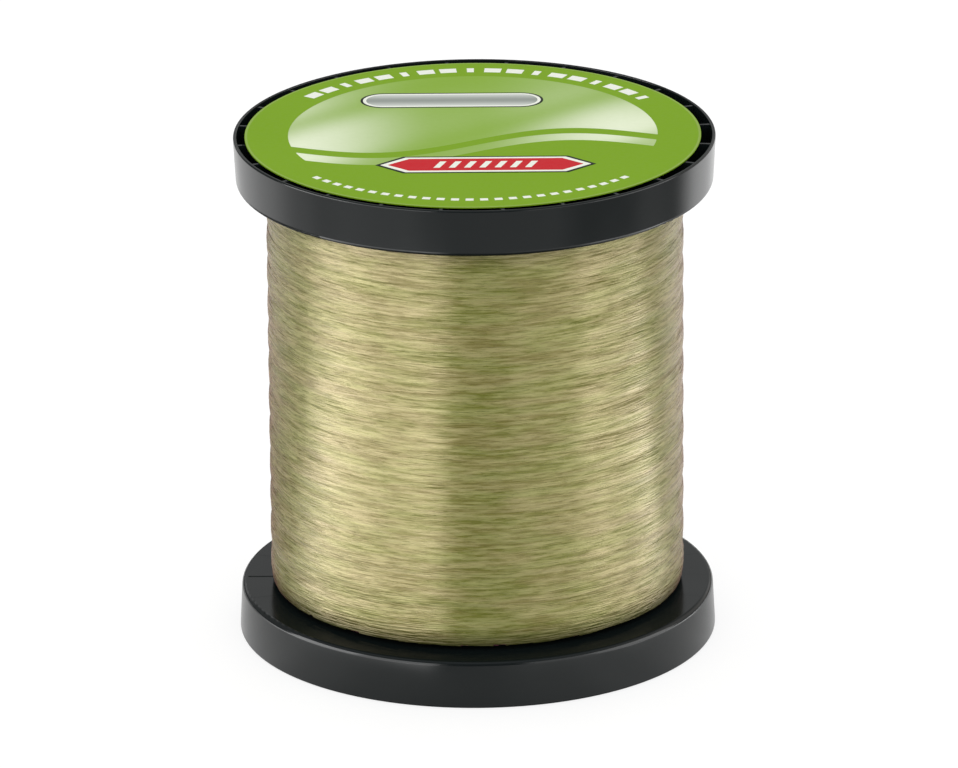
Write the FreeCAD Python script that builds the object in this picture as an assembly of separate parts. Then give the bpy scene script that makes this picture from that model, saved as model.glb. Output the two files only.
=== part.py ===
import FreeCAD, Part
import math
import os

# Bulk spool of monofilament line. Millimetres, +Z up, origin at the centre of the face it stands on.
# The upper flange is the lower one turned over, so the lower one is built first.

# Whole spool
overall_height = 124.4

# Flange rim
flange_outer_radius = 57.5
rim_draft = 0.6
flange_depth = 11.5
lip_width = 0.85
lip_outer_rounding = 0.4
lip_inner_rounding = 0.2
rim_root_wall = 2.0
inner_edge_rounding = 1.2

# Flange web, ribs and rings
web_thickness = 2.2
rib_count = 24
rib_thickness = 0.8
clocking_angle = -0.7
rib_end_in_rim = 0.6
inner_rib_count = 12
seat_ring_inner_radius = 24.5
seat_ring_wall = 2.0
hub_wall = 2.45
hub_reach = 3.5
moulding_rounding = 0.3
root_rounding = 0.5

# Snap fingers between flange and barrel
finger_length = 8.0
finger_wall = 2.4
bead_radius = 0.6
bead_from_tip = 1.6
slip_clearance = 0.05

# Barrel and arbor
barrel_outer_radius = 28.0
barrel_wall = 3.0
bore_radius = 8.1
arbor_wall = 2.9
spoke_count = 6
spoke_thickness = 2.0
spoke_in_slot = 4.0
slot_side_clearance = 0.1
spoke_from_rib_angle = 3.75

# Line package
winding_crest_radius = 49.85
wave_height = 0.35
wave_count = 12
winding_corner_rounding = 1.2
winding_end_clearance = 0.05
winding_shoulder_run = 5.0
winding_shoulder_rise = 0.8

# Labels
label_edge_gap = 2.3
label_thickness = 0.25
label_below_lip = 0.1
label_shift = -0.35
label_hole_radius = 9.0

# Tape strips
tape_thickness = 0.12
start_tape_width = 16.0
start_tape_length = 20.0
start_tape_from_web = 5.0
end_tape_width = 12.0
end_tape_length = 34.0
tape_rounding = 1.5

z_axis = FreeCAD.Vector(0, 0, 1)
origin = FreeCAD.Vector(0, 0, 0)

flange_inner_edge_radius = flange_outer_radius - rim_draft
rim_root_radius = flange_outer_radius - rim_root_wall
lip_inner_radius = flange_outer_radius - lip_width
label_radius = lip_inner_radius - label_edge_gap
spoke_angle = clocking_angle + spoke_from_rib_angle
label_seat = label_below_lip + label_thickness
web_inner_face = flange_depth
web_outer_face = web_inner_face - web_thickness
barrel_inner_radius = barrel_outer_radius - barrel_wall
finger_outer_radius = barrel_inner_radius - slip_clearance
finger_inner_radius = finger_outer_radius - finger_wall
finger_tip = web_inner_face + finger_length
slot_floor = finger_tip - spoke_in_slot
spoke_end = slot_floor + slot_side_clearance
bead_height = finger_tip - bead_from_tip
arbor_outer_radius = bore_radius + arbor_wall
hub_hole_radius = arbor_outer_radius + slip_clearance
hub_outer_radius = hub_hole_radius + hub_wall
hub_tip = web_inner_face + hub_reach
seat_ring_outer_radius = seat_ring_inner_radius + seat_ring_wall


def at(radius, z):
    return FreeCAD.Vector(radius, 0, z)


def toward(start, end):
    step = end - start
    return step.multiply(1.0 / step.Length)


def rounded_corner(before, here, after, rounding):
    """Start, middle and end of the arc that rounds one corner of an outline."""
    back = toward(here, before)
    ahead = toward(here, after)
    half_angle = back.getAngle(ahead) / 2
    setback = rounding / math.tan(half_angle)
    bisector = toward(origin, back + ahead)
    centre = here + bisector * (rounding / math.sin(half_angle))
    middle = centre - bisector * rounding
    return here + back * setback, middle, here + ahead * setback


def turned(corners):
    """Solid turned about the Z axis from corners given as (radius, z, rounding)."""
    count = len(corners)
    stations = []
    for index in range(count):
        radius, z, rounding = corners[index]
        here = at(radius, z)
        if rounding == 0:
            stations.append((here, None, here))
            continue
        before = at(corners[index - 1][0], corners[index - 1][1])
        following = corners[(index + 1) % count]
        after = at(following[0], following[1])
        stations.append(rounded_corner(before, here, after, rounding))
    edges = []
    for index in range(count):
        start, middle, end = stations[index]
        if middle is not None:
            edges.append(Part.Arc(start, middle, end).toShape())
        next_start = stations[(index + 1) % count][0]
        edges.append(Part.LineSegment(end, next_start).toShape())
    face = Part.Face(Part.Wire(edges))
    return face.revolve(origin, z_axis, 360)


def tube(inner_radius, outer_radius, bottom, top):
    height = top - bottom
    outer = Part.makeCylinder(outer_radius, height, FreeCAD.Vector(0, 0, bottom))
    inner = Part.makeCylinder(inner_radius, height, FreeCAD.Vector(0, 0, bottom))
    return outer.cut(inner)


def radial_plate(inner_radius, outer_radius, thickness, bottom, top, angle):
    """Flat plate that stands on a radius of the spool, at an angle in degrees."""
    corner = FreeCAD.Vector(inner_radius, -thickness / 2, bottom)
    plate = Part.makeBox(outer_radius - inner_radius, thickness, top - bottom, corner)
    plate.rotate(origin, z_axis, angle)
    return plate


def plates_around(count, start_angle, inner_radius, outer_radius, thickness, bottom, top):
    plates = []
    for index in range(count):
        angle = start_angle + index * 360.0 / count
        plates.append(radial_plate(inner_radius, outer_radius, thickness, bottom, top, angle))
    return plates


def turned_over(shape):
    """The same piece turned over, at mid-height, about the line of one spoke."""
    middle = FreeCAD.Vector(0, 0, overall_height / 2)
    spoke_line = FreeCAD.Rotation(z_axis, spoke_angle).multVec(FreeCAD.Vector(1, 0, 0))
    other = shape.copy()
    other.rotate(middle, spoke_line, 180)
    return other


def one_solid(shape):
    """The single solid of a finished piece, with leftover seams removed."""
    solids = shape.removeSplitter().Solids
    if len(solids) != 1:
        raise ValueError("a piece came out as %d solids" % len(solids))
    return solids[0]


def flange_body():
    """Rim, web, seat ring, hub and the ring that becomes the snap fingers."""
    return turned([
        (flange_outer_radius, 0, lip_outer_rounding),
        (flange_inner_edge_radius, web_inner_face, inner_edge_rounding),
        (finger_outer_radius, web_inner_face, 0),
        (finger_outer_radius, finger_tip, moulding_rounding),
        (finger_inner_radius, finger_tip, moulding_rounding),
        (finger_inner_radius, web_inner_face, root_rounding),
        (hub_outer_radius, web_inner_face, root_rounding),
        (hub_outer_radius, hub_tip, moulding_rounding),
        (hub_hole_radius, hub_tip, moulding_rounding),
        (hub_hole_radius, label_seat, moulding_rounding),
        (hub_outer_radius, label_seat, moulding_rounding),
        (hub_outer_radius, web_outer_face, root_rounding),
        (seat_ring_inner_radius, web_outer_face, root_rounding),
        (seat_ring_inner_radius, label_seat, moulding_rounding),
        (seat_ring_outer_radius, label_seat, moulding_rounding),
        (seat_ring_outer_radius, web_outer_face, root_rounding),
        (rim_root_radius, web_outer_face, root_rounding),
        (lip_inner_radius, 0, lip_inner_rounding),
    ])


def lower_flange():
    bead = Part.makeTorus(finger_outer_radius, bead_radius, FreeCAD.Vector(0, 0, bead_height))
    inner_cover = Part.makeCylinder(finger_inner_radius, 4 * bead_radius,
                                    FreeCAD.Vector(0, 0, bead_height - 2 * bead_radius))
    body = flange_body().fuse(bead.cut(inner_cover))
    slot_width = spoke_thickness + 2 * slot_side_clearance
    slots = plates_around(spoke_count, spoke_angle, finger_inner_radius - 1, barrel_outer_radius,
                          slot_width, slot_floor, finger_tip + 1)
    body = body.cut(slots)
    rib_top = web_outer_face + web_thickness / 4
    rim_wall_reach = flange_outer_radius - lip_width / 2 - rib_end_in_rim / 2
    ribs = plates_around(rib_count, clocking_angle, seat_ring_outer_radius - rib_end_in_rim,
                         rim_wall_reach, rib_thickness, label_seat, rib_top)
    inner_ribs = plates_around(inner_rib_count, clocking_angle,
                               hub_outer_radius - rib_end_in_rim,
                               seat_ring_inner_radius + rib_end_in_rim,
                               rib_thickness, label_seat, rib_top)
    return one_solid(body.fuse(ribs + inner_ribs))


def barrel():
    tube_bottom = web_inner_face
    tube_top = overall_height - web_inner_face
    shell = tube(barrel_inner_radius, barrel_outer_radius, tube_bottom, tube_top)
    groove_radius = bead_radius + slip_clearance
    for height in (bead_height, overall_height - bead_height):
        groove = Part.makeTorus(barrel_inner_radius, groove_radius, FreeCAD.Vector(0, 0, height))
        shell = shell.cut(groove)
    arbor_length_gap = label_seat + slip_clearance
    arbor = turned([
        (bore_radius, arbor_length_gap, moulding_rounding),
        (arbor_outer_radius, arbor_length_gap, moulding_rounding),
        (arbor_outer_radius, overall_height - arbor_length_gap, moulding_rounding),
        (bore_radius, overall_height - arbor_length_gap, moulding_rounding),
    ])
    overlap = arbor_wall / 2
    spokes = plates_around(spoke_count, spoke_angle, arbor_outer_radius - overlap,
                           barrel_inner_radius + barrel_wall / 2, spoke_thickness,
                           spoke_end, overall_height - spoke_end)
    return one_solid(shell.fuse([arbor] + spokes))


def winding_outline():
    """Outer line of the package: shallow waves, and ends that draw back from the flanges."""
    valley_radius = winding_crest_radius - wave_height
    bottom = web_inner_face + winding_end_clearance
    top = overall_height - bottom
    shoulder_bottom = bottom + winding_shoulder_rise
    shoulder_top = top - winding_shoulder_rise
    wave_bottom = shoulder_bottom + winding_corner_rounding
    wave_top = shoulder_top - winding_corner_rounding
    wave_length = (wave_top - wave_bottom) / wave_count
    inner_radius = barrel_outer_radius + slip_clearance
    shoulder_radius = valley_radius - winding_corner_rounding
    end_face_radius = shoulder_radius - winding_shoulder_run
    corner_reach = winding_corner_rounding * math.sqrt(0.5)
    edges = [
        Part.LineSegment(at(inner_radius, top), at(inner_radius, bottom)).toShape(),
        Part.LineSegment(at(inner_radius, bottom), at(end_face_radius, bottom)).toShape(),
        Part.LineSegment(at(end_face_radius, bottom),
                         at(shoulder_radius, shoulder_bottom)).toShape(),
        Part.Arc(at(shoulder_radius, shoulder_bottom),
                 at(shoulder_radius + corner_reach, wave_bottom - corner_reach),
                 at(valley_radius, wave_bottom)).toShape(),
    ]
    for index in range(wave_count):
        start = wave_bottom + index * wave_length
        edges.append(Part.Arc(at(valley_radius, start),
                              at(winding_crest_radius, start + wave_length / 2),
                              at(valley_radius, start + wave_length)).toShape())
    edges.append(Part.Arc(at(valley_radius, wave_top),
                          at(shoulder_radius + corner_reach, wave_top + corner_reach),
                          at(shoulder_radius, shoulder_top)).toShape())
    edges.append(Part.LineSegment(at(shoulder_radius, shoulder_top),
                                  at(end_face_radius, top)).toShape())
    edges.append(Part.LineSegment(at(end_face_radius, top), at(inner_radius, top)).toShape())
    return Part.Wire(edges)


def curved_strip(inner_radius, thickness, length, width, bottom, middle_angle, rounding):
    """Strip of tape bent round the spool's axis; length runs round, width runs along Z."""
    reach = inner_radius + thickness + 2
    skin = tube(inner_radius, inner_radius + thickness, bottom, bottom + width)
    blank = Part.makeBox(reach, length, width, FreeCAD.Vector(0, -length / 2, bottom))
    if rounding > 0:
        across = [edge for edge in blank.Edges
                  if abs(edge.tangentAt(edge.FirstParameter).x) > 0.9]
        blank = blank.makeFillet(rounding, across)
    blank.rotate(origin, z_axis, middle_angle)
    return one_solid(skin.common(blank))


def start_tape():
    bottom = web_inner_face + start_tape_from_web
    return curved_strip(barrel_outer_radius, tape_thickness, start_tape_length,
                        start_tape_width, bottom, 90, tape_rounding)


def end_tape():
    bottom = (overall_height - end_tape_width) / 2
    return curved_strip(winding_crest_radius + slip_clearance / 2, tape_thickness,
                        end_tape_length, end_tape_width, bottom, 90, tape_rounding)


def line_winding():
    package = Part.Face(winding_outline()).revolve(origin, z_axis, 360)
    room = slip_clearance
    pocket = curved_strip(barrel_outer_radius, tape_thickness + 2 * room,
                          start_tape_length + 2 * room, start_tape_width + 2 * room,
                          web_inner_face + start_tape_from_web - room, 90, 0)
    return one_solid(package.cut(pocket))


def upper_label():
    bottom = overall_height - label_seat
    return Part.makeCylinder(label_radius, label_thickness,
                             FreeCAD.Vector(label_shift, 0, bottom))


def lower_label():
    disc = Part.makeCylinder(label_radius, label_thickness,
                             FreeCAD.Vector(-label_shift, 0, label_below_lip))
    hole = Part.makeCylinder(label_hole_radius, label_thickness,
                             FreeCAD.Vector(0, 0, label_below_lip))
    return disc.cut(hole)


flange = lower_flange()
pieces = {
    "lower_flange": flange,
    "upper_flange": turned_over(flange),
    "barrel": barrel(),
    "line_winding": line_winding(),
    "upper_label": upper_label(),
    "lower_label": lower_label(),
    "start_tape": start_tape(),
    "end_tape": end_tape(),
}

os.makedirs("parts", exist_ok=True)
for name, shape in pieces.items():
    solid = one_solid(shape)
    if not solid.isValid():
        raise ValueError(name + " is not a valid solid")
    solid.exportStep("parts/" + name + ".step")
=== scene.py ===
import math

import bpy
import numpy as np
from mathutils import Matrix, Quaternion, Vector


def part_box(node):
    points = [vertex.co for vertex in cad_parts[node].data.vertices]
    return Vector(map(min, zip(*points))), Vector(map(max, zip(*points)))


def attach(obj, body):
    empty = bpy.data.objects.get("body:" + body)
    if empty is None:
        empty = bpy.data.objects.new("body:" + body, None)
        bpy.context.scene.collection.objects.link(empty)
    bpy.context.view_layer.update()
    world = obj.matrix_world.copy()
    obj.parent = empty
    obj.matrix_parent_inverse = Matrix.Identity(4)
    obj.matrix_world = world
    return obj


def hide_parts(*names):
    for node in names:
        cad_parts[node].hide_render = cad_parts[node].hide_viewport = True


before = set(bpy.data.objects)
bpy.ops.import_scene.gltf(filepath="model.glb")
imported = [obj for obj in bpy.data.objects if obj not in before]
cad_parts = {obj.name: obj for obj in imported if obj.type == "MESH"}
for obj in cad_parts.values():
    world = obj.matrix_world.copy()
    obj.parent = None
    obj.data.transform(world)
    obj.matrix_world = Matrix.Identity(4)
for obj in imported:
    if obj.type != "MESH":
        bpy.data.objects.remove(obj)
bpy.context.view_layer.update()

MM = 0.001


def linear(red, green, blue):
    """Scene-linear colour from the three display values, 0 to 255."""
    def one(value):
        value = value / 255
        return value / 12.92 if value <= 0.04045 else ((value + 0.055) / 1.055) ** 2.4
    return (one(red), one(green), one(blue), 1.0)


def grey(value):
    """Neutral scene-linear colour."""
    return (value, value, value, 1.0)


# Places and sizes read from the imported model
flange_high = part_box("lower_flange")[1]
top_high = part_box("upper_flange")[1]
winding_low, winding_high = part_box("line_winding")
label_low, label_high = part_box("upper_label")
rim_radius = flange_high[0]
overall_height = top_high[2]
winding_radius = winding_high[0]
label_radius = (label_high[0] - label_low[0]) / 2
label_centre = (label_high[0] + label_low[0]) / 2
label_face = label_high[2]

# Camera
image_width = 958
image_height = 768
camera_distance = 2.3
camera_elevation = math.radians(19.95)
camera_roll = math.radians(0.42)
focal_pixels = 9573
sensor_width = 36.0
aim_pixel = (476.14, 378.9)

# Brightness of the floor as gloss mirrors it, by turns round the spool: 0.5 is the camera's side
far_floor_in_gloss = (
    (0.0, 0.66), (0.09, 0.69), (0.17, 0.96), (0.20, 1.05), (0.265, 0.62), (0.30, 0.44), (0.34, 0.58),
    (0.41, 0.52), (0.45, 0.22), (0.52, 0.27), (0.60, 0.28), (0.62, 0.12), (0.64, 0.0), (0.70, 0.0),
    (0.735, 0.20), (0.79, 0.0), (0.845, 1.25), (0.90, 0.90), (1.0, 0.66),
)
near_floor_in_gloss = (
    (0.0, 0.48), (0.20, 0.48), (0.24, 0.52), (0.27, 0.60), (0.295, 0.68), (0.32, 0.75), (0.36, 0.62),
    (0.42, 0.42), (0.50, 0.30), (0.57, 0.46), (0.612, 0.61), (0.64, 0.56), (0.67, 0.62), (0.71, 0.62),
    (0.735, 0.52), (0.76, 0.46), (1.0, 0.48),
)
middle_floor_in_gloss = (
    (0.0, 0.25), (0.21, 0.05), (0.243, 2.2), (0.268, 5.1), (0.30, 5.2), (0.34, 3.2), (0.385, 2.7),
    (0.445, 4.1), (0.468, 0.10), (0.51, 0.26), (0.56, 0.8), (0.63, 1.1), (0.67, 3.7), (0.70, 2.5),
    (0.735, 3.1), (0.765, 4.9), (0.795, 0.7), (1.0, 0.8),
)
# Distances from the axis where one of these rings gives way to the next
near_to_middle = (0.0885, 0.100)
middle_to_far = (0.20, 0.29)

# Floor: half its side, how far it lies under the spool, and its glow where the camera sees it
floor_half = 3.0
floor_drop = 0.1 * MM
floor_glow = grey(0.76)
floor_tones = (grey(0.29), grey(0.31))

# Room as gloss mirrors it: the camera's side, the two far sides, the horizon, the screen straight
# behind the spool, and the ceiling
room_near = (0.07, 0.07, 0.075, 1)
room_far_left = grey(0.24)
room_far_right = (0.60, 0.57, 0.54, 1)
room_horizon = grey(0.03)
room_screen = grey(1.27)
room_ceiling = (0.38, 0.40, 0.42, 1)

# Room: between which parts of a direction, x to the right, y away and z up, these give way
left_to_right = (-0.5, 0.6)
near_to_far = (-0.9, 0.2)
horizon_to_room = (0.04, 0.22)
screen_edge_away = (0.80, 0.92)
screen_edge_up = (0.20, 0.30)
room_to_ceiling = (0.60, 0.95)

# Room: the light that it gives, and what the camera sees of it
room_light = grey(0.80)
room_seen = grey(1.0)

# Lamps: the panels that gloss mirrors all stand on one circle, at one height
panel_distance = 1.0
panel_elevation = 3
panel_height = 1.1
fill_distance = 1.4
fill_height = 1.0

# Flange rim, as the solid has it
flange_depth = 11.5 * MM
rim_draft = 0.6 * MM
edge_rounding = 1.2 * MM

# Moulded plastic: near-black tones that drift like a cloud, a fine ripple, and scuffs round the rim
plastic_tones = ((0.0046, 0.0072, 0.0074, 1), (0.0066, 0.0098, 0.0100, 1))
plastic_ior = 1.46
plastic_roughness = (0.13, 0.18)
cloud_scale = 38.0
ripple_scale = 180.0
ripple_height = 0.02 * MM
ripple_strength = 0.12
scuff_scale = (12.0, 3600.0)
scuff_range = (0.55, 0.8)
scuff_roughness = 0.04

# Moulded plastic: gloss of the walls and of the webs, and the upward parts of the normal between them
wall_gloss = 0.5
web_gloss = 0.04
wall_to_upper_face = (0.80, 0.985)
lower_face_to_wall = (-0.50, -0.05)

# Faint sink marks on the webs, opposite the ribs
rib_count = 24
lower_rib_angle = -0.7
upper_rib_angle = 6.8
sink_half_width = 0.40 * MM
sink_depth = 0.10 * MM
sink_strength = 0.8
ripple_beside_sinks = 0.05
strong_sink_angle = math.pi
next_rib_cosine = 0.966
weak_sink = 0.16
sink_start = 29.0 * MM
sink_end = 55.5 * MM

# Label print, in label coordinates: x to the right, y away from the camera, round the centre
print_gloss = 0.03
ink_step = 0.012 * MM
ink_sink = 0.005 * MM
ink_grain = 700.0
edge_line_width = 0.55 * MM
edge_line_inset = 0.05 * MM

# Plate and badge: each is drawn as a dark line, a white border and a field, one inside the other;
# width, height, and the corner's radius or the point's length
plate_centre = (-5.0 * MM, 25.5 * MM)
plate_line = (44.0 * MM, 11.2 * MM, 5.6 * MM)
plate_border = (42.8 * MM, 10.0 * MM, 5.0 * MM)
plate_field = (41.2 * MM, 8.4 * MM, 4.2 * MM)
badge_centre = (3.0 * MM, -23.0 * MM)
badge_line = (52.0 * MM, 12.2 * MM, 6.5 * MM)
badge_border = (49.6 * MM, 10.8 * MM, 5.9 * MM)
badge_field = (46.0 * MM, 8.6 * MM, 4.9 * MM)
bar_pitch = 3.6 * MM
bar_width = 1.5 * MM
bar_height = 4.6 * MM
bar_slant = 1.6 * MM

# Wave: the circle that it fills, its swing, and the levels of its broad and its narrow band
print_radius = 44.0 * MM
wave_length = 84.0 * MM
wave_swing = 6.5 * MM
wave_tilt = 0.10
broad_band = (-5.0 * MM, 60.0 * MM)
narrow_band = (-14.0 * MM, -9.0 * MM)
thinnest_band = 0.05 * MM

# Wave: its pale sheen, with the streaks' slant and radians per metre, the middle that stays green,
# the distances over which it pales to both sides, and those over which it fades to the back
pale_slant = 1.1
pale_streaks = 62.0
pale_middle = -4.0 * MM
pale_aside = (4.0 * MM, 40.0 * MM)
pale_to_back = (2.0 * MM, 42.0 * MM)

# Rows of dashes on one circle, in degrees: where a row starts, stops and repeats, and half a dash
dash_ring_radius = 48.6 * MM
dash_height = 3.0 * MM
back_dashes = (33, 148, 6.4)
back_dash_turn = 2.4
back_dot_turn = 1.0
front_dashes = (221, 320, 4.0)
front_dash_turn = 1.1

# Line package: its outer shape, as the solid has it
barrel_radius = 28.0 * MM
shoulder_run = 5.0 * MM
shoulder_rise = 0.8 * MM
corner_rounding = 1.2 * MM
wave_height = 0.35 * MM
wave_count = 12

# Line package: painted shade, a darker colour towards both flanges, where the line lies against them
painted_shade_colour = (0.02, 0.022, 0.01, 1)
lower_shade_length = 7.0 * MM
lower_shade = 0.80
upper_shade_length = 4.0 * MM
upper_shade = 0.45

# Line package: features per metre along and across the strands, and the ranges that they keep to
streak_scale = (200.0, 1900.0)
patch_scale = (70.0, 900.0)
drift_scale = (45.0, 240.0)
drift_range = (0.36, 0.64)
blend_range = (0.38, 0.62)

# Line package: how far streaks darken and brighten the nylon, and how red, green and blue follow
streak_change = (-0.066, 0.072)
streak_tone = (1.0, 1.0, 0.52)

# Line package: the nylon's gloss, less of it in dark streaks and in the painted lower shade, and its
# sheen
nylon_ior = 1.862
nylon_roughness = (0.24, 0.34)
dark_streak_glint = 0.56
shaded_glint_loss = 0.7
green_glint = (0.98, 0.825, 0.515, 1)
tan_glint = (0.995, 0.803, 0.555, 1)
sheen_weight = 0.35
sheen_roughness = 0.3
pink_sheen = (1.0, 0.30, 0.50, 1)

# Line package: the strands
strand_diameter = 0.46 * MM
strand_spacing = 0.46 * MM
end_margin = 0.6 * strand_diameter
traverse_pitch = 11.5 * MM
samples_per_turn = 138
profile_angles = (-46, -16, 16, 46)
profile_rise = 0.52
lay_wander = 0.11 * MM
lift_wander = 0.035 * MM
lift_limit = 0.09 * MM
start_wander = 0.3
stray_count = 5
stray_pitch = 26.0 * MM

# Line package: over how many samples a strand's place wanders
slow_wander = 7
quick_wander = 2
lift_length = 1.3

# Line package: the closed body under the strands
core_depth = 0.05 * MM
core_gap = 0.05 * MM
core_rows = 160
core_columns = 144


class Nodes:
    """Short way to write one material's or world's node tree."""

    def __init__(self, owner):
        owner.use_nodes = True
        self.tree = owner.node_tree
        self.tree.nodes.clear()

    def add(self, kind, **settings):
        node = self.tree.nodes.new(kind)
        for name, value in settings.items():
            setattr(node, name, value)
        return node

    def link(self, out_socket, in_socket):
        self.tree.links.new(out_socket, in_socket)

    def fill(self, socket, value):
        """Links another node's output to the socket, or sets it to a constant."""
        if isinstance(value, bpy.types.NodeSocket):
            self.link(value, socket)
        else:
            socket.default_value = value

    def math(self, operation, *values):
        node = self.add("ShaderNodeMath", operation=operation)
        for socket, value in zip(node.inputs, values):
            self.fill(socket, value)
        return node.outputs[0]

    def plus(self, a, b):
        return self.math("ADD", a, b)

    def minus(self, a, b):
        return self.math("SUBTRACT", a, b)

    def times(self, a, b):
        return self.math("MULTIPLY", a, b)

    def from_axis(self, x, y):
        """Distance from the spool's axis."""
        return self.math("SQRT", self.plus(self.times(x, x), self.times(y, y)))

    def mix(self, factor, a, b):
        """Colour between a and b; sockets 6, 7 and 2 are the node's colour ones."""
        node = self.add("ShaderNodeMix", data_type="RGBA")
        self.fill(node.inputs["Factor"], factor)
        self.fill(node.inputs[6], a)
        self.fill(node.inputs[7], b)
        return node.outputs[2]

    def choose_vector(self, factor, a, b):
        """Vector a or b; sockets 4, 5 and 1 are the node's vector ones."""
        node = self.add("ShaderNodeMix", data_type="VECTOR")
        self.fill(node.inputs["Factor"], factor)
        self.fill(node.inputs[4], a)
        self.fill(node.inputs[5], b)
        return node.outputs[1]

    def dim(self, colour, factor):
        """Colour times a factor."""
        node = self.add("ShaderNodeVectorMath", operation="SCALE")
        self.fill(node.inputs[0], colour)
        self.fill(node.inputs["Scale"], factor)
        return node.outputs[0]

    def shift(self, colour, amount, direction):
        """Colour plus an amount of another one."""
        node = self.add("ShaderNodeVectorMath", operation="MULTIPLY_ADD")
        for socket, value in zip(node.inputs, (amount, direction, colour)):
            self.fill(socket, value)
        return node.outputs[0]

    def span(self, value, low, high, to_low=0.0, to_high=1.0):
        """Smooth step from to_low to to_high, while the value runs from low to high."""
        node = self.add("ShaderNodeMapRange", interpolation_type="SMOOTHSTEP")
        for socket, item in zip(node.inputs, (value, low, high, to_low, to_high)):
            self.fill(socket, item)
        return node.outputs[0]

    def follow(self, noise, to_low, to_high):
        """Value between two that follows a noise, over the range that noises mostly keep to."""
        return self.span(noise, 0.3, 0.7, to_low, to_high)

    def ramp(self, value, stops):
        """Smooth grey curve through (position, brightness) stops."""
        node = self.add("ShaderNodeValToRGB")
        node.color_ramp.interpolation = "EASE"
        points = node.color_ramp.elements
        while len(points) < len(stops):
            points.new(0.5)
        for point, (position, brightness) in zip(points, stops):
            point.position = position
            point.color = grey(brightness)
        self.link(value, node.inputs["Fac"])
        return node.outputs["Color"]

    def noise(self, vector, scale, detail=2.0, roughness=0.5):
        node = self.add("ShaderNodeTexNoise")
        self.fill(node.inputs["Vector"], vector)
        node.inputs["Scale"].default_value = scale
        node.inputs["Detail"].default_value = detail
        node.inputs["Roughness"].default_value = roughness
        return node.outputs["Fac"]

    def drawn_out(self, a, b, scale, layer=0.0, detail=2.0, roughness=0.5):
        """Noise over two coordinates that has another scale along each."""
        vector = self.join(self.times(a, scale[0]), self.times(b, scale[1]), layer)
        return self.noise(vector, 1.0, detail, roughness)

    def place(self):
        return self.add("ShaderNodeTexCoord").outputs["Object"]

    def normal(self):
        return self.add("ShaderNodeNewGeometry").outputs["Normal"]

    def rays(self):
        return self.add("ShaderNodeLightPath").outputs

    def split(self, vector):
        node = self.add("ShaderNodeSeparateXYZ")
        self.link(vector, node.inputs[0])
        return node.outputs

    def join(self, x, y, z):
        node = self.add("ShaderNodeCombineXYZ")
        for socket, value in zip(node.inputs, (x, y, z)):
            self.fill(socket, value)
        return node.outputs[0]

    def unit(self, vector):
        node = self.add("ShaderNodeVectorMath", operation="NORMALIZE")
        self.link(vector, node.inputs[0])
        return node.outputs[0]

    def surface(self, colour, roughness, **sockets):
        """Principled surface; an underscore in a socket's name stands for a space."""
        shader = self.add("ShaderNodeBsdfPrincipled")
        self.fill(shader.inputs["Base Color"], colour)
        self.fill(shader.inputs["Roughness"], roughness)
        for name, value in sockets.items():
            self.fill(shader.inputs[name.replace("_", " ")], value)
        self.show(shader, "ShaderNodeOutputMaterial")
        return shader

    def show(self, shader, kind):
        output = self.add(kind)
        self.link(shader.outputs[0], output.inputs["Surface"])

    def bump(self, shader, height, distance, strength=1.0, normal=None):
        node = self.add("ShaderNodeBump")
        node.inputs["Strength"].default_value = strength
        node.inputs["Distance"].default_value = distance
        self.link(height, node.inputs["Height"])
        if normal is not None:
            self.link(normal, node.inputs["Normal"])
        self.link(node.outputs[0], shader.inputs["Normal"])


def new_material(name):
    material = bpy.data.materials.new(name)
    return material, Nodes(material)


def sink_marks(n, x, y, rib_angle):
    """Strength of the sink marks: one line of 1, weak ones opposite the other ribs, 0 elsewhere."""
    angle = n.minus(n.math("ARCTAN2", y, x), math.radians(rib_angle))
    away = n.from_axis(x, y)
    swing = n.math("ABSOLUTE", n.math("SINE", n.times(angle, rib_count / 2)))
    aside = n.times(n.times(swing, away), 2 / rib_count)
    on_web = n.times(n.math("GREATER_THAN", away, sink_start), n.math("LESS_THAN", away, sink_end))
    near_strong = n.math("COSINE", n.minus(angle, strong_sink_angle))
    strength = n.span(near_strong, next_rib_cosine, 1.0, weak_sink, 1.0)
    return n.times(n.span(aside, 0.0, sink_half_width, strength, 0.0), on_web)


def edge_normal(n, x, y, z, base, side):
    """Even normal all along the rounded edge of a flange, whose mesh is faceted there."""
    lean = math.atan(rim_draft / flange_depth)
    middle_radius = rim_radius - rim_draft - edge_rounding * (1 - math.sin(lean)) / math.cos(lean)
    middle_height = flange_depth - edge_rounding
    away = n.from_axis(x, y)
    out = n.minus(away, middle_radius)
    up = n.minus(n.times(n.minus(z, base), side), middle_height)
    rounded = n.join(n.times(n.math("DIVIDE", x, away), out), n.times(n.math("DIVIDE", y, away), out),
                     n.times(up, side))
    on_edge = n.times(n.math("GREATER_THAN", out, 0.0),
                      n.math("GREATER_THAN", up, edge_rounding * math.sin(lean)))
    return n.choose_vector(on_edge, n.normal(), n.unit(rounded))


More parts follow.
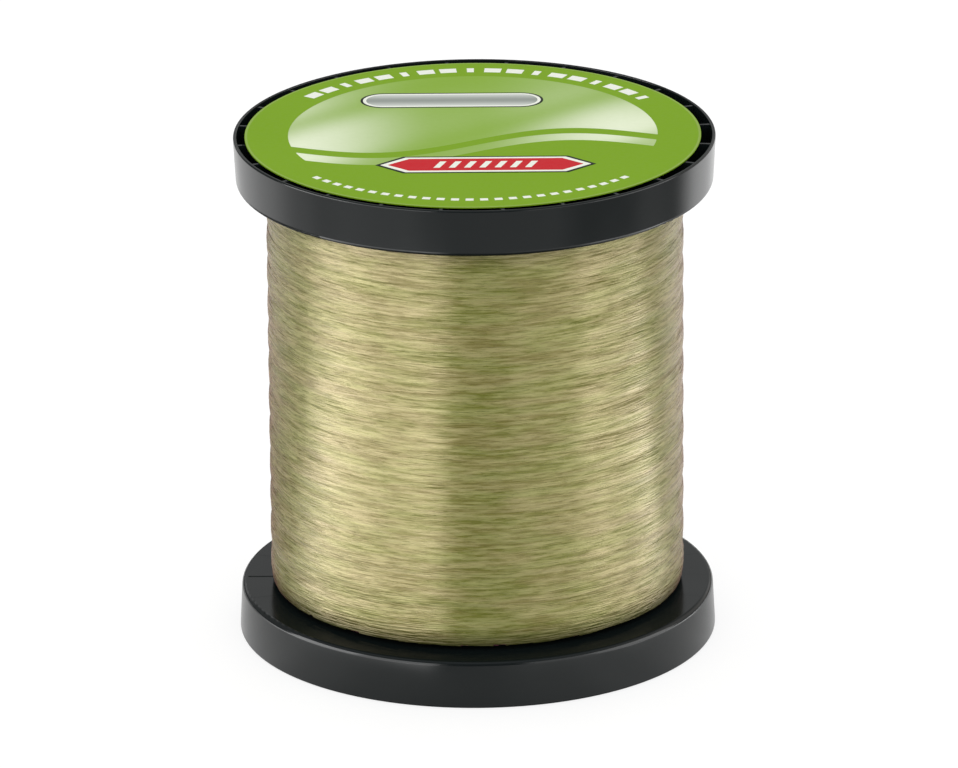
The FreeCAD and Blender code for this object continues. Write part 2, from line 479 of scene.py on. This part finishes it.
def moulded_black(name, rib_angle=None, base=0.0, side=1):
    """Glossy black moulded plastic with a faint ripple and handling marks.

    With a rib angle, the piece is a flange whose rim starts at the height base and runs up (side 1)
    or down (side -1), and it gets sink marks and an even normal on its rounded edge.
    """
    material, n = new_material(name)
    place = n.place()
    x, y, z = n.split(place)
    ripple = n.noise(place, ripple_scale, 1.0)
    cloud = n.noise(place, cloud_scale, 3.0)
    scuffs = n.drawn_out(n.math("ARCTAN2", y, x), z, scuff_scale, 0.0, 4.0, 0.6)
    roughness = n.plus(n.follow(cloud, *plastic_roughness),
                       n.span(scuffs, *scuff_range, 0.0, scuff_roughness))
    up = n.split(n.normal())[2]
    gloss = n.math("MINIMUM", n.span(up, *wall_to_upper_face, wall_gloss, web_gloss),
                   n.span(up, *lower_face_to_wall, web_gloss, wall_gloss))
    shader = n.surface(n.mix(cloud, *plastic_tones), roughness, Specular_IOR_Level=gloss,
                       IOR=plastic_ior)
    if rib_angle is None:
        n.bump(shader, ripple, ripple_height, ripple_strength)
    else:
        relief = n.minus(n.times(ripple, ripple_beside_sinks), sink_marks(n, x, y, rib_angle))
        n.bump(shader, relief, sink_depth, sink_strength, edge_normal(n, x, y, z, base, side))
    return material


def nylon_line(name, green, tan):
    """Clear green-brown nylon: bright and dark streaks, a hue that drifts along the layers, and painted
    shade at the flanges.
    """
    material, n = new_material(name)
    x, y, z = n.split(n.place())
    along = n.times(n.math("ARCTAN2", y, x), winding_radius)
    streaks = n.drawn_out(along, z, streak_scale, 0.0, 3.0, 0.6)
    patches = n.drawn_out(along, z, patch_scale, 3.0)
    hue = n.span(n.drawn_out(along, z, drift_scale, 7.0, 3.0, 0.6), *drift_range)
    blend = n.plus(n.times(streaks, 0.5), n.times(patches, 0.5))
    colour = n.shift(n.mix(hue, green, tan), n.span(blend, *blend_range, *streak_change), streak_tone)
    # Painted shade: the colour darkens towards both flanges, and at the bottom the gloss fades with it
    lower_painted_shade = n.span(z, winding_low[2], winding_low[2] + lower_shade_length, lower_shade, 0.0)
    upper_painted_shade = n.span(z, winding_high[2] - upper_shade_length, winding_high[2], 0.0, upper_shade)
    colour = n.mix(n.math("MAXIMUM", lower_painted_shade, upper_painted_shade), colour, painted_shade_colour)
    glint = n.times(n.span(blend, *blend_range, dark_streak_glint, 1.0),
                    n.minus(1.0, n.times(lower_painted_shade, shaded_glint_loss)))
    n.surface(colour, n.follow(streaks, *nylon_roughness), IOR=nylon_ior, Specular_IOR_Level=1.0,
              Specular_Tint=n.dim(n.mix(hue, green_glint, tan_glint), glint),
              Sheen_Weight=sheen_weight, Sheen_Roughness=sheen_roughness, Sheen_Tint=pink_sheen)
    return material


def label_green():
    """Flat green print under a thin satin varnish."""
    material, n = new_material("label_green")
    place = n.place()
    grain = n.noise(place, 900.0)
    tone = n.noise(place, 25.0, 1.0)
    mottle = n.plus(n.times(grain, 0.5), n.times(tone, 0.5))
    colour = n.mix(mottle, linear(118, 158, 24), linear(126, 165, 34))
    shader = n.surface(colour, n.follow(grain, 0.42, 0.5), Specular_IOR_Level=print_gloss)
    n.bump(shader, grain, 0.01 * MM, 0.2)
    return material


def ink(name, colour, roughness=0.42):
    """One flat printing ink, with the faint mottle of offset print."""
    material, n = new_material(name)
    grain = n.noise(n.place(), ink_grain, 3.0)
    darker = tuple(channel * 0.93 for channel in colour[:3]) + (1,)
    n.surface(n.mix(grain, darker, colour), n.follow(grain, roughness, roughness + 0.06),
              Specular_IOR_Level=print_gloss)
    return material


def pale_sheen():
    """Silvery pale green in slanted streaks, palest towards both sides, that fades to the back."""
    material, n = new_material("ink_pale_sheen")
    place = n.place()
    x, y, z = n.split(place)
    slant = n.minus(x, n.times(y, pale_slant))
    streaks = n.math("ABSOLUTE", n.math("SINE", n.times(slant, pale_streaks)))
    aside = n.span(n.math("ABSOLUTE", n.minus(x, pale_middle)), *pale_aside, 0.12, 1.0)
    nearer = n.span(y, *pale_to_back, 1.0, 0.25)
    pale = n.times(n.times(aside, nearer), n.span(streaks, 0.0, 1.0, 0.35, 1.0))
    colour = n.mix(pale, linear(133, 170, 54), linear(232, 240, 212))
    grain = n.noise(place, ink_grain, 3.0)
    n.surface(n.mix(n.times(grain, 0.10), colour, linear(140, 175, 80)),
              n.follow(grain, 0.40, 0.46), Specular_IOR_Level=print_gloss)
    return material


def plate_silver():
    """Printed silver plate: light at its edges, grey across the middle."""
    material, n = new_material("ink_silver")
    x, y, z = n.split(n.place())
    from_middle = n.math("ABSOLUTE", n.minus(y, plate_centre[1]))
    colour = n.mix(n.span(from_middle, 0.0, 6.0 * MM), linear(150, 156, 150), linear(226, 230, 224))
    grain = n.drawn_out(x, y, (60.0, 900.0), 0.0, 3.0)
    n.surface(n.mix(n.times(grain, 0.2), colour, linear(120, 126, 122)),
              n.follow(grain, 0.36, 0.44), Specular_IOR_Level=print_gloss)
    return material


def tape_film():
    """Milky tape with faint stretch marks, through which the line's streaks show."""
    material, n = new_material("tape_film")
    x, y, z = n.split(n.place())
    marks = n.noise(n.join(n.times(x, 90.0), 0.0, n.times(z, 1400.0)), 1.0, 3.0)
    blotches = n.noise(n.join(n.times(x, 160.0), 5.0, n.times(z, 420.0)), 1.0, 3.0)
    beneath = n.mix(n.span(marks, 0.40, 0.60), linear(138, 134, 78), linear(186, 179, 130))
    colour = n.mix(n.span(blotches, 0.35, 0.65, 0.35, 0.60), beneath, linear(226, 223, 206))
    shader = n.surface(colour, n.follow(blotches, 0.16, 0.30))
    n.bump(shader, marks, 0.03 * MM, 0.4)
    return material


def floor_white():
    """Pale floor: white where it is seen, graded where gloss mirrors it, with the shadow kept."""
    material, n = new_material("floor_white")
    place = n.place()
    x, y, z = n.split(place)
    angle = n.math("ARCTAN2", x, n.times(y, -1.0))
    turn = n.plus(n.math("DIVIDE", angle, 2 * math.pi), 0.5)
    away = n.from_axis(x, y)
    mirrored = n.mix(n.span(away, *near_to_middle), n.ramp(turn, near_floor_in_gloss),
                     n.ramp(turn, middle_floor_in_gloss))
    mirrored = n.mix(n.span(away, *middle_to_far), mirrored, n.ramp(turn, far_floor_in_gloss))
    rays = n.rays()
    lit = n.math("MAXIMUM", rays["Is Camera Ray"], rays["Is Glossy Ray"])
    glow = n.add("ShaderNodeEmission")
    n.link(n.mix(rays["Is Camera Ray"], mirrored, floor_glow), glow.inputs["Color"])
    n.link(n.math("MAXIMUM", lit, rays["Is Transmission Ray"]), glow.inputs["Strength"])
    diffuse = n.add("ShaderNodeBsdfDiffuse")
    n.link(n.mix(n.noise(place, 30.0), *floor_tones), diffuse.inputs["Color"])
    both = n.add("ShaderNodeAddShader")
    n.link(diffuse.outputs[0], both.inputs[0])
    n.link(glow.outputs[0], both.inputs[1])
    n.show(both, "ShaderNodeOutputMaterial")
    return material


def make_world():
    """Even light from the room; what gloss mirrors and what the camera sees are set apart from it."""
    world = bpy.data.worlds.new("studio")
    bpy.context.scene.world = world
    n = Nodes(world)
    x, y, z = n.split(n.add("ShaderNodeTexCoord").outputs["Generated"])
    far = n.mix(n.span(x, *left_to_right), room_far_left, room_far_right)
    mirrored = n.mix(n.span(y, *near_to_far), room_near, far)
    mirrored = n.mix(n.span(z, *horizon_to_room), room_horizon, mirrored)
    on_screen = n.times(n.span(y, *screen_edge_away), n.span(z, *screen_edge_up))
    mirrored = n.mix(on_screen, mirrored, room_screen)
    mirrored = n.mix(n.span(z, *room_to_ceiling), mirrored, room_ceiling)
    rays = n.rays()
    clear = n.math("MAXIMUM", rays["Is Glossy Ray"], rays["Is Transmission Ray"])
    light = n.mix(rays["Is Camera Ray"], n.mix(clear, room_light, mirrored), room_seen)
    background = n.add("ShaderNodeBackground")
    n.link(light, background.inputs["Color"])
    n.show(background, "ShaderNodeOutputWorld")


def softbox(name, azimuth, elevation, distance, width, height, radiance):
    """Rectangular lamp that faces the spool; azimuth 0 is the camera's side, 90 the right."""
    lamp = bpy.data.lights.new(name, "AREA")
    lamp.shape = "RECTANGLE"
    lamp.size = width
    lamp.size_y = height
    lamp.energy = radiance * width * height * math.pi
    box = bpy.data.objects.new(name, lamp)
    a, e = math.radians(azimuth), math.radians(elevation)
    outward = Vector((math.sin(a) * math.cos(e), -math.cos(a) * math.cos(e), math.sin(e)))
    box.location = outward * distance + Vector((0, 0, overall_height / 2))
    box.rotation_euler = outward.to_track_quat("Z", "Y").to_euler()
    bpy.context.collection.objects.link(box)
    return box


def fill_lamp(name, azimuth, elevation, width, radiance):
    """Broad lamp that lights the surfaces and that gloss doesn't mirror."""
    box = softbox(name, azimuth, elevation, fill_distance, width, fill_height, radiance)
    box.visible_glossy = False


def gloss_panel(name, azimuth, width, radiance):
    """Tall lamp that only gloss mirrors."""
    box = softbox(name, azimuth, panel_elevation, panel_distance, width, panel_height, radiance)
    box.visible_diffuse = False


def make_lights():
    fill_lamp("front_fill", 0, 25, 1.6, 1.1)
    fill_lamp("overhead", 180, 75, 1.2, 0.9)
    gloss_panel("left_box", -79, 0.70, 4.8)
    gloss_panel("left_panel", -40, 0.76, 2.6)
    gloss_panel("right_box", 80, 0.94, 2.4)
    gloss_panel("right_panel", 38, 0.54, 1.2)


def make_camera():
    """Camera whose picture has the spool's middle at aim_pixel."""
    data = bpy.data.cameras.new("camera")
    data.sensor_width = sensor_width
    data.lens = focal_pixels / image_width * sensor_width
    data.clip_start = 0.05
    data.clip_end = 20
    camera = bpy.data.objects.new("camera", data)
    e = camera_elevation
    middle = Vector((0, 0, overall_height / 2))
    back = Vector((0, -math.cos(e), math.sin(e)))
    up = Vector((0, math.sin(e), math.cos(e)))
    side = Vector((1, 0, 0))
    metres_per_pixel = camera_distance / focal_pixels
    aim = middle + side * ((image_width / 2 - aim_pixel[0]) * metres_per_pixel)
    aim = aim - up * ((image_height / 2 - aim_pixel[1]) * metres_per_pixel)
    camera.location = aim + back * camera_distance
    camera.rotation_mode = "QUATERNION"
    level = (-back).to_track_quat("-Z", "Y")
    camera.rotation_quaternion = level @ Quaternion(Vector((0, 0, 1)), -camera_roll)
    bpy.context.collection.objects.link(camera)
    bpy.context.scene.camera = camera


def make_floor():
    mesh = bpy.data.meshes.new("floor")
    signs = ((-1, -1), (1, -1), (1, 1), (-1, 1))
    corners = [(x * floor_half, y * floor_half, -floor_drop) for x, y in signs]
    mesh.from_pydata(corners, [], [(0, 1, 2, 3)])
    floor = bpy.data.objects.new("floor", mesh)
    mesh.materials.append(floor_white())
    bpy.context.collection.objects.link(floor)


def put(name, mesh, material):
    """New piece of the spool, with its material, hung under the root body."""
    mesh.materials.append(material)
    piece = bpy.data.objects.new(name, mesh)
    bpy.context.collection.objects.link(piece)
    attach(piece, "root")
    return piece


def put_faces(name, points, faces, material, smooth=True):
    """New piece of the spool from lists of points and faces."""
    mesh = bpy.data.meshes.new(name)
    mesh.from_pydata(points, [], faces)
    mesh.polygons.foreach_set("use_smooth", [smooth] * len(faces))
    return put(name, mesh, material)


def smooth_noise(rng, count, length):
    """Random curve of unit spread whose values change over about `length` samples."""
    padded = count + 8 * int(length)
    spectrum = np.fft.rfft(rng.standard_normal(padded))
    frequency = np.fft.rfftfreq(padded)
    curve = np.fft.irfft(spectrum * np.exp(-2 * (math.pi * frequency * length) ** 2), padded)
    return curve[:count] / curve.std()


def envelope(z):
    """Package radius at a height: shallow waves and rounded ends, as the solid has them."""
    low = winding_low[2] + shoulder_rise + corner_rounding
    high = winding_high[2] - shoulder_rise - corner_rounding
    wave = (z - low) / (high - low) * wave_count
    swell = 4 * (wave % 1) * (1 - wave % 1)
    radius = winding_radius - wave_height * (1 - swell)
    past = np.clip(np.maximum(low - z, z - high), 0, corner_rounding)
    drop = corner_rounding - np.sqrt(np.maximum(corner_rounding ** 2 - past ** 2, 0))
    return np.where(past > 0, winding_radius - wave_height - drop, radius)


def lay_path(rng, start_angle, pitch, rising):
    """Angle, height and radius along one traverse of the line from flange to flange."""
    low = winding_low[2] + shoulder_rise + end_margin
    high = winding_high[2] - shoulder_rise - end_margin
    count = int((high - low) / pitch * samples_per_turn)
    travel = np.arange(count) / samples_per_turn
    height = low + travel * pitch
    height = height + lay_wander * smooth_noise(rng, count, slow_wander)
    height = height + lay_wander * smooth_noise(rng, count, quick_wander)
    height = np.clip(height, low, high)
    if not rising:
        height = low + high - height
    lift = np.clip(lift_wander * smooth_noise(rng, count, lift_length), -lift_limit, lift_limit)
    radius = envelope(height) - strand_diameter / 2 + lift
    return start_angle + 2 * math.pi * travel, height, radius


def strand_paths(rng, rising):
    """Traverses that lie side by side all round the package."""
    starts = round(traverse_pitch / strand_spacing)
    phases = (np.arange(starts) + rng.uniform(-start_wander, start_wander, starts)) / starts
    return [lay_path(rng, 2 * math.pi * phase, traverse_pitch, rising) for phase in phases]


def stray_paths(rng):
    """A few quick traverses that cross the rest at a steeper angle."""
    angles = rng.uniform(0, 2 * math.pi, stray_count)
    return [lay_path(rng, angle, stray_pitch, index % 2 == 0) for index, angle in enumerate(angles)]


def ridge_points(angle, height, radius):
    """Points of a rounded ridge along one path, a row of them across the ridge at each sample."""
    lean = np.radians(np.array(profile_angles))
    out = radius[:, None] + strand_diameter / 2 * (profile_rise * np.cos(lean) + 1 - profile_rise)
    z = height[:, None] + strand_diameter / 2 * np.sin(lean)[None, :]
    x = out * np.cos(angle)[:, None]
    y = out * np.sin(angle)[:, None]
    return np.stack([x, y, z], axis=-1).reshape(-1, 3)


def ridge_faces(samples, base):
    """Quads of one ridge whose first point has the number base."""
    across = len(profile_angles)
    step = np.arange(samples - 1)[:, None] * across + np.arange(across - 1)[None, :]
    quads = np.stack([step, step + across, step + across + 1, step + 1], axis=-1)
    return quads.reshape(-1, 4) + base


def quad_mesh(name, points, faces):
    """Smooth mesh from one array of points and one of quads."""
    mesh = bpy.data.meshes.new(name)
    mesh.vertices.add(len(points))
    mesh.vertices.foreach_set("co", points.astype(np.float32).ravel())
    mesh.loops.add(faces.size)
    mesh.loops.foreach_set("vertex_index", faces.astype(np.int32).ravel())
    mesh.polygons.add(len(faces))
    mesh.polygons.foreach_set("loop_start", np.arange(0, faces.size, 4, dtype=np.int32))
    mesh.update(calc_edges=True)
    mesh.validate()
    mesh.polygons.foreach_set("use_smooth", np.ones(len(mesh.polygons), dtype=bool))
    return mesh


def strand_piece(name, paths, material):
    """One mesh of ridges, one along each path."""
    points, faces, base = [], [], 0
    for angle, height, radius in paths:
        points.append(ridge_points(angle, height, radius))
        faces.append(ridge_faces(len(angle), base))
        base += len(points[-1])
    mesh = quad_mesh(name, np.concatenate(points), np.concatenate(faces))
    return put(name, mesh, material)


def core_profile():
    """Radius and height round the section of the layers under the strands that are modelled."""
    low, high = winding_low[2], winding_high[2]
    heights = np.linspace(low + shoulder_rise, high - shoulder_rise, core_rows)
    outer = envelope(heights) - core_depth
    inner = barrel_radius + core_gap
    end_face = outer[0] - shoulder_run
    return [(inner, low), (end_face, low)] + list(zip(outer, heights)) + [(end_face, high), (inner, high)]


def winding_core(material):
    """Closed body of the deeper layers."""
    profile = core_profile()
    size = len(profile)
    points, faces = [], []
    for step in range(core_columns):
        angle = 2 * math.pi * step / core_columns
        points += [(r * math.cos(angle), r * math.sin(angle), z) for r, z in profile]
        here, there = step * size, (step + 1) % core_columns * size
        for k in range(size):
            after = (k + 1) % size
            faces.append((here + k, there + k, there + after, here + after))
    return put_faces("winding_core", points, faces, material)


def make_winding():
    rng = np.random.default_rng(7)
    outer = nylon_line("nylon_outer", linear(126, 132, 60), linear(138, 134, 73))
    # Painted shade: the deeper layers get a darker copy of the nylon, standing in for the shade between
    # the strands
    deep_painted_shade = nylon_line("nylon_deep_painted_shade", linear(117, 124, 56), linear(128, 125, 65))
    pieces = [
        strand_piece("strands_rising", strand_paths(rng, True), outer),
        strand_piece("strands_falling", strand_paths(rng, False), outer),
        strand_piece("strands_stray", stray_paths(rng), outer),
        winding_core(deep_painted_shade),
    ]
    for piece in pieces:
        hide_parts("line_winding")


class Print:
    """Thin closed patches of one ink on the upper label."""

    def __init__(self, name, material, layer):
        self.name = name
        self.material = material
        self.low = label_face - ink_sink
        self.high = label_face + ink_step * layer
        self.points = []
        self.faces = []

    def patch(self, near, far):
        """Closed patch between two equally long rows of (x, y) points."""
        base = len(self.points)
        count = len(near)
        for height in (self.low, self.high):
            for row in (near, far):
                self.points += [(label_centre + x, y, height) for x, y in row]
        for k in range(count - 1):
            a, b = base + k, base + count + k
            c, d = a + 2 * count, b + 2 * count
            self.faces += [(a, b, b + 1, a + 1), (c, c + 1, d + 1, d)]
            self.faces += [(a, a + 1, c + 1, c), (b + 1, b, d, d + 1)]
        for k, turned in ((base, False), (base + count - 1, True)):
            end = (k, k + 2 * count, k + 3 * count, k + count)
            self.faces.append(end[::-1] if turned else end)

    def mirrored(self, centre, outline):
        """Patch between the far half of an outline, given round the centre, and its mirror image."""
        near = [(centre[0] + x, centre[1] - y) for x, y in outline]
        far = [(centre[0] + x, centre[1] + y) for x, y in outline]
        self.patch(near, far)

    def arc(self, middle, height, start, end, steps):
        """Part of a ring, with its start and end in degrees from the right, turning to the back."""
        angles = np.radians(np.linspace(start, end, steps))
        rows = []
        for radius in (middle + height / 2, middle - height / 2):
            rows.append([(radius * math.cos(a), radius * math.sin(a)) for a in angles])
        self.patch(*rows)

    def plate(self, centre, width, height, corner):
        """Rectangle with rounded corners."""
        half, tall = width / 2, height / 2
        turn = np.radians(np.linspace(90, 0, 9))
        right = [(half - corner + corner * math.cos(a), tall - corner + corner * math.sin(a))
                 for a in turn]
        self.mirrored(centre, [(-x, y) for x, y in right[::-1]] + right)

    def lozenge(self, centre, width, height, point):
        """Long hexagon whose left and right ends are pointed."""
        half, tall = width / 2, height / 2
        blunt = 0.02 * tall
        self.mirrored(centre, [(-half, blunt), (point - half, tall), (half - point, tall), (half, blunt)])

    def bar(self, centre, width, height, slant):
        """Upright bar that leans to the right."""
        x, y = centre
        near = [(x - width / 2 - slant / 2, y - height / 2), (x + width / 2 - slant / 2, y - height / 2)]
        far = [(x - width / 2 + slant / 2, y + height / 2), (x + width / 2 + slant / 2, y + height / 2)]
        self.patch(near, far)

    def wave(self, low_side, high_side, radius):
        """Wavy band across the label, between two levels, inside a circle."""
        xs = -radius * np.cos(np.linspace(0, math.pi, 160))
        room = np.sqrt(np.maximum(radius ** 2 - xs ** 2, 0))
        swell = wave_swing * np.sin(2 * math.pi * xs / wave_length) + wave_tilt * xs
        near = np.clip(low_side + swell, -room, room)
        far = np.clip(high_side + swell, -room, room)
        keep = far - near > thinnest_band
        self.patch(list(zip(xs[keep], near[keep])), list(zip(xs[keep], far[keep])))

    def done(self):
        return put_faces(self.name, self.points, self.faces, self.material, False)


def print_pale():
    sheet = Print("print_pale", pale_sheen(), 1)
    sheet.wave(*broad_band, print_radius)
    sheet.wave(*narrow_band, print_radius)
    sheet.done()
    line = Print("print_edge_line", ink("ink_edge", linear(142, 172, 78)), 1)
    line.arc(label_radius - edge_line_inset - edge_line_width / 2, edge_line_width, 0, 360, 181)
    line.done()


def print_dark():
    sheet = Print("print_dark", ink("ink_dark", linear(38, 46, 36)), 2)
    sheet.lozenge(badge_centre, *badge_line)
    sheet.plate(plate_centre, *plate_line)
    sheet.done()


def print_white():
    sheet = Print("print_white", ink("ink_white", linear(238, 241, 230)), 3)
    sheet.lozenge(badge_centre, *badge_border)
    sheet.plate(plate_centre, *plate_border)
    for index, angle in enumerate(np.arange(*back_dashes)):
        turn = back_dash_turn if index % 3 else back_dot_turn
        sheet.arc(dash_ring_radius, dash_height, angle - turn, angle + turn, 6)
    for angle in np.arange(*front_dashes):
        sheet.arc(dash_ring_radius, dash_height / 2, angle - front_dash_turn, angle + front_dash_turn, 4)
    sheet.done()


def print_silver():
    sheet = Print("print_silver", plate_silver(), 4)
    sheet.plate(plate_centre, *plate_field)
    sheet.done()


def print_red():
    sheet = Print("print_red", ink("ink_red", linear(200, 24, 36), 0.34), 4)
    sheet.lozenge(badge_centre, *badge_field)
    sheet.done()
    bars = Print("print_bars", ink("ink_white_bars", linear(238, 241, 230)), 5)
    for k in range(-3, 4):
        bars.bar((badge_centre[0] + k * bar_pitch, badge_centre[1]), bar_width, bar_height, bar_slant)
    bars.done()


def make_print():
    """Generic print: a wave, a blank plate, a plain badge and rows of dashes."""
    print_pale()
    print_dark()
    print_white()
    print_silver()
    print_red()


def dress(node, material):
    """Gives a CAD node its material; its mesh and place stay as they are."""
    piece = bpy.data.objects[node]
    piece.data.materials.clear()
    piece.data.materials.append(material)


def dress_cad():
    dress("upper_flange", moulded_black("moulded_black_upper", upper_rib_angle, overall_height, -1))
    dress("lower_flange", moulded_black("moulded_black_lower", lower_rib_angle))
    dress("barrel", moulded_black("moulded_black"))
    green = label_green()
    for node in ("upper_label", "lower_label"):
        dress(node, green)
    film = tape_film()
    for node in ("start_tape", "end_tape"):
        dress(node, film)


bpy.context.scene.view_settings.view_transform = "Standard"
make_world()
make_lights()
make_camera()
make_floor()
dress_cad()
make_print()
make_winding()
